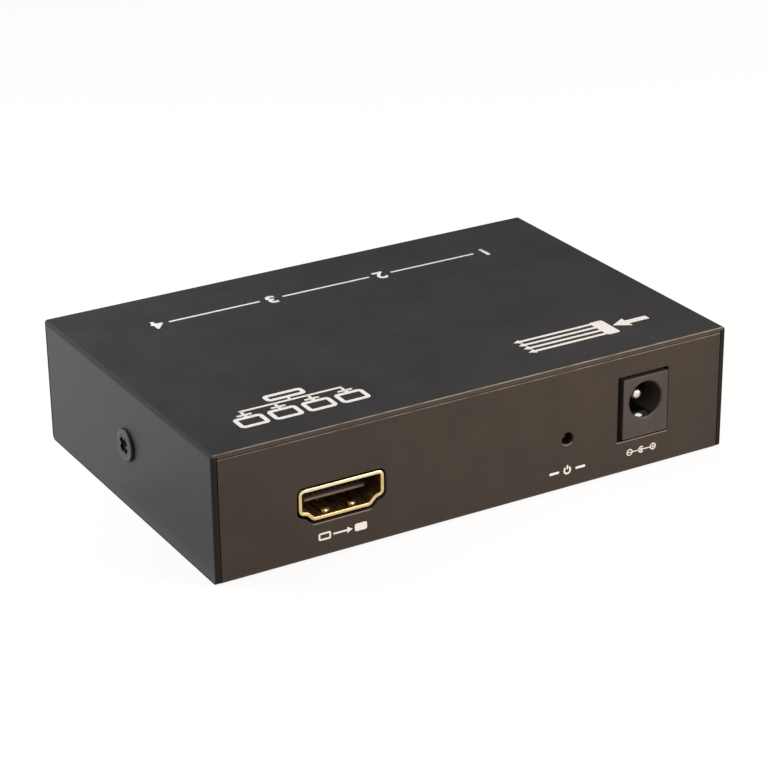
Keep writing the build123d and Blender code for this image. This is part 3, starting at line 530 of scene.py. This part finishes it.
# green lacquer over copper tracks and a glass weave, with a painted shade along its front edge
def boardLacquer(name):
    paint = Paint(name)
    tracks = paint.node("ShaderNodeTexBrick", {"offset": solderMask["trackOffset"]}, {
        "Vector": paint.place, "Scale": 1 / solderMask["trackPitch"], "Mortar Size": solderMask["trackShare"],
        "Mortar Smooth": solderMask["trackSoftness"], "Color1": shade(1, 1, 1), "Color2": shade(1, 1, 1),
        "Mortar": shade(0, 0, 0)})["Fac"]
    weave = paint.noise(solderMask["weaveSize"], 2.0)
    shadedFrontEdge = paint.axes()["Y"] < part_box("circuit_board")[0].y + solderMask["shadedFrontWidth"]
    ground = paint.blend(paint.between(weave, *narrowNoise), solderMask["mask"], solderMask["weave"])
    lacquer = paint.blend(tracks, ground, solderMask["track"])
    relief = tracks + weave * solderMask["weaveRelief"]
    return paint.finish(
        Base_Color=paint.blend(shadedFrontEdge, lacquer, solderMask["shadedFrontEdge"]),
        Roughness=paint.between(weave, *wideNoise, *solderMask["roughness"]),
        Coat_Weight=solderMask["gloss"],
        Normal=paint.bump(relief, solderMask["bumpStrength"], solderMask["bumpHeight"]),
    )


ledEpoxy = {
    "colour": shade(0.012, 0.006, 0.006),
    "edge": shade(0.03, 0.012, 0.011),
    "haze": 0.8 * mm,
    "roughness": (0.08, 0.2),
    "gloss": 0.5,
    "bumpStrength": 0.05,
    "bumpHeight": 0.02 * mm,
}


# the power light's unlit red lens, a little hazy
def lampEpoxy(name):
    paint = Paint(name)
    haze = paint.noise(ledEpoxy["haze"])
    return paint.finish(
        Base_Color=paint.blend(paint.between(haze, *narrowNoise), ledEpoxy["colour"], ledEpoxy["edge"]),
        Roughness=paint.between(haze, *wideNoise, *ledEpoxy["roughness"]),
        Coat_Weight=ledEpoxy["gloss"],
        Normal=paint.bump(haze, ledEpoxy["bumpStrength"], ledEpoxy["bumpHeight"]),
    )


printInk = {
    "colour": shade(0.86, 0.86, 0.87),
    "thin": shade(0.62, 0.62, 0.63),
    "grain": 0.16 * mm,
    "thinLevels": (0.58, 0.74),
    "roughness": (0.5, 0.65),
    "bumpStrength": 0.2,
    "bumpHeight": 0.02 * mm,
    "depth": 0.03 * mm,
}


# screen printed white ink, thinner where the coat's pebbles show through
def whiteInk(name):
    paint = Paint(name)
    pebbles = paint.noise(printInk["grain"])
    thin = paint.between(pebbles, *printInk["thinLevels"])
    return paint.finish(
        Base_Color=paint.blend(thin, printInk["colour"], printInk["thin"]),
        Roughness=paint.between(pebbles, *wideNoise, *printInk["roughness"]),
        Normal=paint.bump(pebbles, printInk["bumpStrength"], printInk["bumpHeight"]),
    )


def makeFinishes():
    finishes = {
        "cover_coat": powderCoat("coverCoat", coverCoat, "top_cover"),
        "tray_coat": powderCoat("trayCoat", trayCoat, "base_tray"),
        "black_steel": blackSteel("blackSteel"),
        "plain_steel": platedMetal("zincSteel", zincSteel),
        "board_green": boardLacquer("boardLacquer"),
        "gold_plate": platedMetal("goldPlate", goldPlate),
        "nickel_plate": platedMetal("pinPlate", pinPlate),
        "spring_bronze": bronzeWithGlint("springBronze"),
        "led_lens": lampEpoxy("lampEpoxy"),
        "tinned_copper": platedMetal("tinPlate", tinPlate),
        "bare_aluminium": platedMetal("bareAluminium", drawnAluminium),
        "can_aluminium": platedMetal("canAluminium", drawnAluminium),
        "crystal_can": platedMetal("crystalCan", zincSteel),
    }
    for slot, mould in mouldings.items():
        finishes[slot] = moulding(slot, mould)
    return finishes


# gives a piece one material and no other
def dress(piece, material):
    piece.data.materials.clear()
    piece.data.materials.append(material)


# an insulator's tongue has its own nylon, and every other CAD node the finish of its slot
def dressCadNodes(finishes):
    nylon = tongueNylon("tongueNylon")
    for name, node in frame["nodes"].items():
        dress(node, nylon if name.endswith("_insulator") else finishes[slotOfNode[name]])


cameraView = {
    "azimuth": math.radians(-29.913),
    "elevation": math.radians(23.857),
    "roll": math.radians(-0.758),
    "height": 10.75 * mm,
    "distance": 420.0 * mm,
    "aside": 0.162 * mm,
    "above": 0.138 * mm,
    "lens": 116.76,
    "sensor": 36.0,
    "clipStart": 10 * mm,
}


# the photo's camera, from its angles round the case's middle
def placeCamera():
    view = cameraView
    back = Vector((
        math.sin(view["azimuth"]) * math.cos(view["elevation"]),
        -math.cos(view["azimuth"]) * math.cos(view["elevation"]),
        math.sin(view["elevation"]),
    ))
    right = Vector((math.cos(view["azimuth"]), math.sin(view["azimuth"]), 0))
    up = back.cross(right)
    turn = view["roll"]
    rolledRight = math.cos(turn) * right + math.sin(turn) * up
    rolledUp = -math.sin(turn) * right + math.cos(turn) * up
    middle = Vector((0, 0, view["height"]))
    data = bpy.data.cameras.new("photoCamera")
    data.lens = view["lens"]
    data.sensor_width = view["sensor"]
    data.clip_start = view["clipStart"]
    camera = bpy.data.objects.new("photoCamera", data)
    bpy.context.scene.collection.objects.link(camera)
    turned = Matrix((rolledRight, rolledUp, back)).transposed()
    camera.matrix_world = Matrix.Translation(
        middle + back * view["distance"] + rolledRight * view["aside"] + rolledUp * view["above"]
    ) @ turned.to_4x4()
    bpy.context.scene.camera = camera


floorPaper = {
    "size": 6.0,
    "fibre": 1.5 * mm,
    "colours": (shade(0.92, 0.92, 0.92), shade(0.95, 0.95, 0.95)),
    "glowShare": 0.82,
    "glow": 1.06,
}

darkCards = {
    "backCard": {"place": (0.1, 0.95, 0.92), "width": 2.6, "height": 1.66, "standing": True, "glow": 0.0},
    # the side card is a painted shadow: a dim glowing sheet on the floor beside the case, seen only in gloss,
    # that stands in for the floor's shade there
    "sideCard": {"place": (-0.066, -0.03, 0.0004), "width": 0.034, "height": 0.075, "standing": False,
                 "glow": 0.62},
}

cardFelt = {"nap": 3 * mm, "colours": (shade(0.01, 0.01, 0.01), shade(0.03, 0.03, 0.03)), "roughness": 0.95}

softBoxes = {
    "sideBox": {"place": (-0.24, 0.16, 0.12), "size": 0.16, "watts": 0.46, "colour": (1.0, 0.96, 0.9)},
    "topBox": {"place": (0.1, 0.2, 1.2), "size": 0.9, "watts": 1.7, "colour": (0.95, 0.97, 1.0)},
    "ridgeBox": {"place": (0.41, -0.36, 0.71), "size": 0.2, "watts": 1.0, "colour": (1.0, 0.98, 0.95)},
    "frontBox": {"place": (0.42, -0.42, 0.24), "size": 0.3, "watts": 3.1, "colour": (1.0, 0.8, 0.62)},
    "backBox": {"place": (-0.075, 0.06, 0.07), "size": 0.03, "watts": 0.032, "colour": (1.0, 0.99, 1.0)},
    "lipBox": {"place": (0.022, -0.066, 0.052), "size": 0.02, "watts": 0.007, "colour": (1.0, 0.82, 0.66)},
}

roomLight = {"skyLevel": 0.3, "aim": (0, 0, 10 * mm)}


# 1 where the camera, gloss or glass sees a surface, and 0 for the light that it sheds
def seenDirectly(paint):
    rays = paint.node("ShaderNodeLightPath")
    return rays["Is Camera Ray"] | rays["Is Glossy Ray"] | rays["Is Transmission Ray"]


# a room that looks white and sheds a plain, lower level of light
def paintSky():
    sky = Room("studioSky")
    seen = seenDirectly(sky)
    light = sky.node("ShaderNodeBackground", {}, {
        "Color": shade(1, 1, 1), "Strength": seen + (1 - seen) * roomLight["skyLevel"]})["Background"]
    sky.node("ShaderNodeOutputWorld", {}, {"Surface": light})


# pale paper that looks nearly white and keeps the object's shadow
def layFloor():
    bpy.ops.mesh.primitive_plane_add(size=floorPaper["size"], location=(0, 0, 0))
    floor = bpy.context.object
    floor.name = "floor"
    paper = Paint("floorPaper")
    grey, pale = floorPaper["colours"]
    fibre = paper.between(paper.noise(floorPaper["fibre"]), *wideNoise)
    matt = paper.node("ShaderNodeBsdfDiffuse", {}, {"Color": paper.blend(fibre, grey, pale)})["BSDF"]
    glow = paper.node("ShaderNodeEmission", {}, {
        "Color": shade(1, 1, 1), "Strength": floorPaper["glow"]})["Emission"]
    share = seenDirectly(paper) * floorPaper["glowShare"]
    dress(floor, paper.close(paper.node("ShaderNodeMixShader", {}, {0: share, 1: matt, 2: glow})["Shader"]))


# felt that the camera and the room's light pass by, so that only the object's gloss shows it
def placeCards():
    black, grey = cardFelt["colours"]
    for name, card in darkCards.items():
        felt = Paint(name)
        felt.finish(
            Base_Color=felt.blend(felt.noise(cardFelt["nap"]), black, grey),
            Roughness=cardFelt["roughness"],
            Specular_IOR_Level=0.0,
            Emission_Color=shade(1, 1, 1),
            Emission_Strength=card["glow"],
        )
        turn = (math.radians(90) if card["standing"] else 0, 0, 0)
        bpy.ops.mesh.primitive_plane_add(size=1.0, location=card["place"], rotation=turn)
        dark = bpy.context.object
        dark.name = name
        dark.scale = (card["width"], card["height"], 1)
        bpy.ops.object.transform_apply(location=True, rotation=True, scale=True)
        dress(dark, felt.material)
        dark.visible_camera = False
        dark.visible_diffuse = False
        dark.visible_shadow = False


# soft boxes out of the camera's sight, aimed at the case
def hangBoxes():
    for name, lamp in softBoxes.items():
        data = bpy.data.lights.new(name, "AREA")
        data.shape = "SQUARE"
        data.size = lamp["size"]
        data.energy = lamp["watts"]
        data.color = lamp["colour"]
        box = bpy.data.objects.new(name, data)
        box.location = lamp["place"]
        box.visible_camera = False
        aim = Vector(roomLight["aim"]) - box.location
        box.rotation_euler = aim.to_track_quat("-Z", "Y").to_euler()
        bpy.context.scene.collection.objects.link(box)


# steps round the ink's curves, and a numeral's height and added weight as shares of its font and height
inkForms = {"cornerSteps": 4, "dotSides": 32, "ringSides": 60, "curveSteps": 6, "capShare": 0.7,
            "weightShare": 0.045}


# a layer of ink, drawn flat in millimetres with x to the reader's right and y upwards
class InkLayer:
    def __init__(self, name):
        self.name = name
        self.pieces = []

    def keep(self):
        piece = bpy.context.object
        bpy.ops.object.transform_apply(location=True, rotation=True, scale=True)
        self.pieces.append(piece)
        return piece

    def bar(self, x, y, width, height):
        bpy.ops.mesh.primitive_plane_add(size=mm, location=(x * mm, y * mm, 0))
        bpy.context.object.scale = (width, height, 1)
        self.keep()

    # a rectangle with rounded corners, and a hole in it where it has a stroke
    def panel(self, x, y, width, height, corner, stroke=None):
        self.bar(x, y, width, height)
        bpy.ops.object.mode_set(mode="EDIT")
        bpy.ops.mesh.select_all(action="SELECT")
        bpy.ops.mesh.bevel(offset=corner * mm, segments=inkForms["cornerSteps"], affect="VERTICES")
        if stroke:
            bpy.ops.mesh.select_all(action="SELECT")
            bpy.ops.mesh.inset(thickness=stroke * mm)
            bpy.ops.mesh.delete(type="FACE")
        bpy.ops.object.mode_set(mode="OBJECT")

    # a stem and a three-sided head, which is one and a half times its radius long
    def arrow(self, start, tip, y, stroke, head):
        neck = tip - 1.5 * head
        self.bar((start + neck) / 2, y, neck - start, stroke)
        bpy.ops.mesh.primitive_circle_add(vertices=3, radius=head * mm, fill_type="NGON",
                                          location=((neck + head / 2) * mm, y * mm, 0),
                                          rotation=(0, 0, -math.pi / 2))
        self.keep()

    def dot(self, x, y, radius):
        bpy.ops.mesh.primitive_circle_add(vertices=inkForms["dotSides"], radius=radius * mm, fill_type="NGON",
                                          location=(x * mm, y * mm, 0))
        self.keep()

    # a ring, left open by half an angle to each side of a direction
    def ring(self, x, y, radius, stroke, gapAt=0.0, gapHalf=0.0):
        centre = Vector((x * mm, y * mm, 0))
        bpy.ops.mesh.primitive_circle_add(vertices=inkForms["ringSides"], radius=radius * mm, location=centre)
        piece = self.keep()
        bpy.ops.object.mode_set(mode="EDIT")
        bpy.ops.mesh.select_all(action="SELECT")
        bpy.ops.mesh.extrude_edges_move()
        inner = (radius - stroke) / radius
        bpy.ops.transform.resize(value=(inner, inner, 1), center_override=centre)
        bpy.ops.mesh.select_all(action="DESELECT")
        bpy.ops.object.mode_set(mode="OBJECT")
        if gapHalf:
            for point in piece.data.vertices:
                arm = point.co - centre
                away = math.atan2(arm.y, arm.x) - gapAt
                point.select = abs(math.remainder(away, 2 * math.pi)) < gapHalf
            bpy.ops.object.mode_set(mode="EDIT")
            bpy.ops.mesh.select_mode(type="VERT")
            bpy.ops.mesh.delete(type="VERT")
            bpy.ops.object.mode_set(mode="OBJECT")

    def numeral(self, figure, x, y, height):
        bpy.ops.object.text_add(location=(x * mm, y * mm, 0))
        letter = bpy.context.object
        letter.data.body = figure
        letter.data.size = height * mm / inkForms["capShare"]
        letter.data.align_x = "CENTER"
        letter.data.align_y = "CENTER"
        letter.data.offset = height * inkForms["weightShare"] * mm
        letter.data.resolution_u = inkForms["curveSteps"]
        bpy.ops.object.convert(target="MESH")
        self.keep()

    # joins what was drawn, turns its faces up, gives it the ink's depth and lays it on its face of the case
    def lay(self, turned, place, ink):
        bpy.ops.object.select_all(action="DESELECT")
        for piece in self.pieces:
            piece.select_set(True)
        bpy.context.view_layer.objects.active = self.pieces[0]
        bpy.ops.object.join()
        layer = bpy.context.object
        layer.name = self.name
        layer.data.name = self.name
        for face in layer.data.polygons:
            face.select = face.normal.z < 0
        bpy.ops.object.mode_set(mode="EDIT")
        bpy.ops.mesh.select_mode(type="FACE")
        bpy.ops.mesh.flip_normals()
        bpy.ops.object.mode_set(mode="OBJECT")
        depth = layer.modifiers.new("depth", "SOLIDIFY")
        depth.thickness = printInk["depth"]
        depth.offset = -1
        bpy.ops.object.modifier_apply(modifier=depth.name)
        layer.matrix_world = Matrix.Translation(place) @ turned
        bpy.ops.object.transform_apply(location=True, rotation=True, scale=True)
        dress(layer, ink)
        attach(layer, "case")


upright = Matrix.Rotation(math.radians(90), 4, "X")
aboutFace = Matrix.Rotation(math.radians(180), 4, "Z")


# the middle of a CAD node, in the millimetres that print is drawn in
def middleOf(node):
    low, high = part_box(node)
    return (low + high) / 2 / mm


def outputMiddles():
    return [middleOf("output_socket_%d_shell" % number) for number in range(1, 5)]


# places are from the case's middle, and those under "above" from the middle of their own sign
topPrint = {
    "numberRow": {"y": 19.3, "height": 2.9, "lineStroke": 0.42, "lineGap": 2.2},
    "branchMark": {"x": 26.4, "y": -21.15, "reach": 12.55, "hub": (2.6, 5.7), "hubX": -3.9, "hubCorner": 0.5,
                   "inStroke": 1.3, "inHead": 1.9, "inGap": 0.4, "stroke": 0.6, "head": 0.85,
                   "rowPitch": 1.5},
    "screenMark": {"x": -27.75, "y": -20.5, "pitch": 5.9, "screen": (5.1, 3.7), "source": (7.0, 2.4),
                   "corner": 0.8, "stroke": 0.75, "neck": (0.6, 0.5), "foot": (2.6, 0.5), "footCorner": 0.2,
                   "line": 0.5, "drop": 1.0, "stem": 0.9,
                   "above": {"screen": 2.75, "neck": 0.75, "foot": 0.3, "drop": -0.5, "bus": -1.1,
                             "stem": -1.7, "source": -3.3}},
}


# the outputs' numbers in a row, joined by lines
def printNumberRow(layer):
    row = topPrint["numberRow"]
    places = sorted((-middle.x, str(number + 1)) for number, middle in enumerate(outputMiddles()))
    for x, figure in places:
        layer.numeral(figure, x, -row["y"], row["height"])
    for (left, _), (right, _) in zip(places, places[1:]):
        layer.bar((left + right) / 2, -row["y"], right - left - 2 * row["lineGap"], row["lineStroke"])


# one arrow into a block, and four out of it
def printBranchMark(layer):
    mark = topPrint["branchMark"]
    x = -mark["x"]
    y = -mark["y"]
    hubWidth, hubHeight = mark["hub"]
    hubLeft = x + mark["hubX"] - hubWidth / 2
    layer.panel(x + mark["hubX"], y, hubWidth, hubHeight, mark["hubCorner"])
    layer.arrow(x - mark["reach"], hubLeft - mark["inGap"], y, mark["inStroke"], mark["inHead"])
    for step in range(4):
        branchY = y + (step - 1.5) * mark["rowPitch"]
        layer.arrow(hubLeft + hubWidth, x + mark["reach"], branchY, mark["stroke"], mark["head"])


# four screens on their feet, wired to one source
def printScreenMark(layer):
    mark = topPrint["screenMark"]
    x = -mark["x"]
    line = mark["line"]
    level = {part: above - mark["y"] for part, above in mark["above"].items()}
    for step in range(4):
        screenX = x + (step - 1.5) * mark["pitch"]
        layer.panel(screenX, level["screen"], *mark["screen"], mark["corner"], mark["stroke"])
        layer.bar(screenX, level["neck"], *mark["neck"])
        layer.panel(screenX, level["foot"], *mark["foot"], mark["footCorner"])
        layer.bar(screenX, level["drop"], line, mark["drop"])
    layer.bar(x, level["bus"], 3 * mark["pitch"] + line, line)
    layer.bar(x, level["stem"], line, mark["stem"])
    layer.panel(x, level["source"], *mark["source"], mark["corner"], mark["stroke"])


# read from the back, so a place on the case has both signs turned
def printTop(ink):
    layer = InkLayer("topPrint")
    printNumberRow(layer)
    printBranchMark(layer)
    printScreenMark(layer)
    layer.lay(aboutFace, (0, 0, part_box("top_cover")[1].z + printInk["depth"]), ink)


# a link: how far its middle is from the middle ring's, and its length
frontPrint = {
    "inputMark": {"z": 3.65, "screen": (2.2, 1.3), "corner": 0.32, "stroke": 0.3, "reach": 4.3,
                  "arrowReach": 1.7, "head": 0.62},
    "lightMark": {"z": 3.5, "radius": 0.74, "stroke": 0.3, "gapHalf": 0.55, "stemAtShare": 0.75,
                  "stemShare": 0.95, "reach": 3.5, "dash": (1.9, 0.42), "dashCorner": 0.18},
    "plugMark": {"x": 31.15, "z": 3.6, "radius": 0.6, "stroke": 0.22, "thinShare": 0.8, "gapHalf": 0.75,
                 "dot": 0.24, "reach": 2.35, "leftLink": (-1.225, 0.97), "rightLink": (0.975, 1.75)},
}


# an empty screen, an arrow and a full one, below the input
def printInputMark(layer):
    mark = frontPrint["inputMark"]
    x = middleOf("input_socket_shell").x
    z = mark["z"]
    width, height = mark["screen"]
    aside = mark["reach"] - width / 2
    layer.panel(x - aside, z, width, height, mark["corner"], mark["stroke"])
    layer.arrow(x - mark["arrowReach"], x + mark["arrowReach"], z, mark["stroke"], mark["head"])
    layer.panel(x + aside, z, width, height, mark["corner"])


# a power sign between two dashes, below the light
def printLightMark(layer):
    mark = frontPrint["lightMark"]
    x = middleOf("power_led").x
    z, radius, stroke = mark["z"], mark["radius"], mark["stroke"]
    layer.ring(x, z, radius, stroke, math.pi / 2, mark["gapHalf"])
    layer.bar(x, z + radius * mark["stemAtShare"], stroke, radius * mark["stemShare"])
    width, height = mark["dash"]
    for side in (-1, 1):
        layer.panel(x + side * (mark["reach"] - width / 2), z, width, height, mark["dashCorner"])


# a minus, a dot in an open ring and a plus, linked in a row below the jack
def printPlugMark(layer):
    mark = frontPrint["plugMark"]
    x, z, radius, reach = mark["x"], mark["z"], mark["radius"], mark["reach"]
    thin = mark["stroke"] * mark["thinShare"]
    layer.ring(x - reach, z, radius, thin)
    layer.bar(x - reach, z, radius, thin)
    layer.ring(x, z, radius, mark["stroke"], 0.0, mark["gapHalf"])
    layer.dot(x, z, mark["dot"])
    layer.ring(x + reach, z, radius, thin)
    layer.bar(x + reach, z, radius, thin)
    layer.bar(x + reach, z, thin, radius)
    for aside, length in (mark["leftLink"], mark["rightLink"]):
        layer.bar(x + aside, z, length, thin)


def printFront(ink):
    layer = InkLayer("frontPrint")
    printInputMark(layer)
    printLightMark(layer)
    printPlugMark(layer)
    layer.lay(upright, (0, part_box("base_tray")[0].y - printInk["depth"], 0), ink)


backPrint = {"z": 3.7, "height": 1.7, "figureAside": 1.6, "arrow": (-0.3, 2.9), "stroke": 0.3, "head": 0.65}


# a number and an arrow below each output
def printBack(ink):
    layer = InkLayer("backPrint")
    z = backPrint["z"]
    start, tip = backPrint["arrow"]
    for number, middle in enumerate(outputMiddles()):
        x = -middle.x
        layer.numeral(str(number + 1), x - backPrint["figureAside"], z, backPrint["height"])
        layer.arrow(x + start, x + tip, z, backPrint["stroke"], backPrint["head"])
    layer.lay(aboutFace @ upright, (0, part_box("base_tray")[1].y + printInk["depth"], 0), ink)


bpy.context.scene.view_settings.view_transform = "Standard"
placeCamera()
print("camera placed")
paintSky()
layFloor()
placeCards()
hangBoxes()
print("studio built")
dressCadNodes(makeFinishes())
print("CAD nodes dressed")
bpy.ops.object.select_all(action="DESELECT")
whitePrint = whiteInk("whiteInk")
printTop(whitePrint)
printFront(whitePrint)
printBack(whitePrint)
print("print laid on")
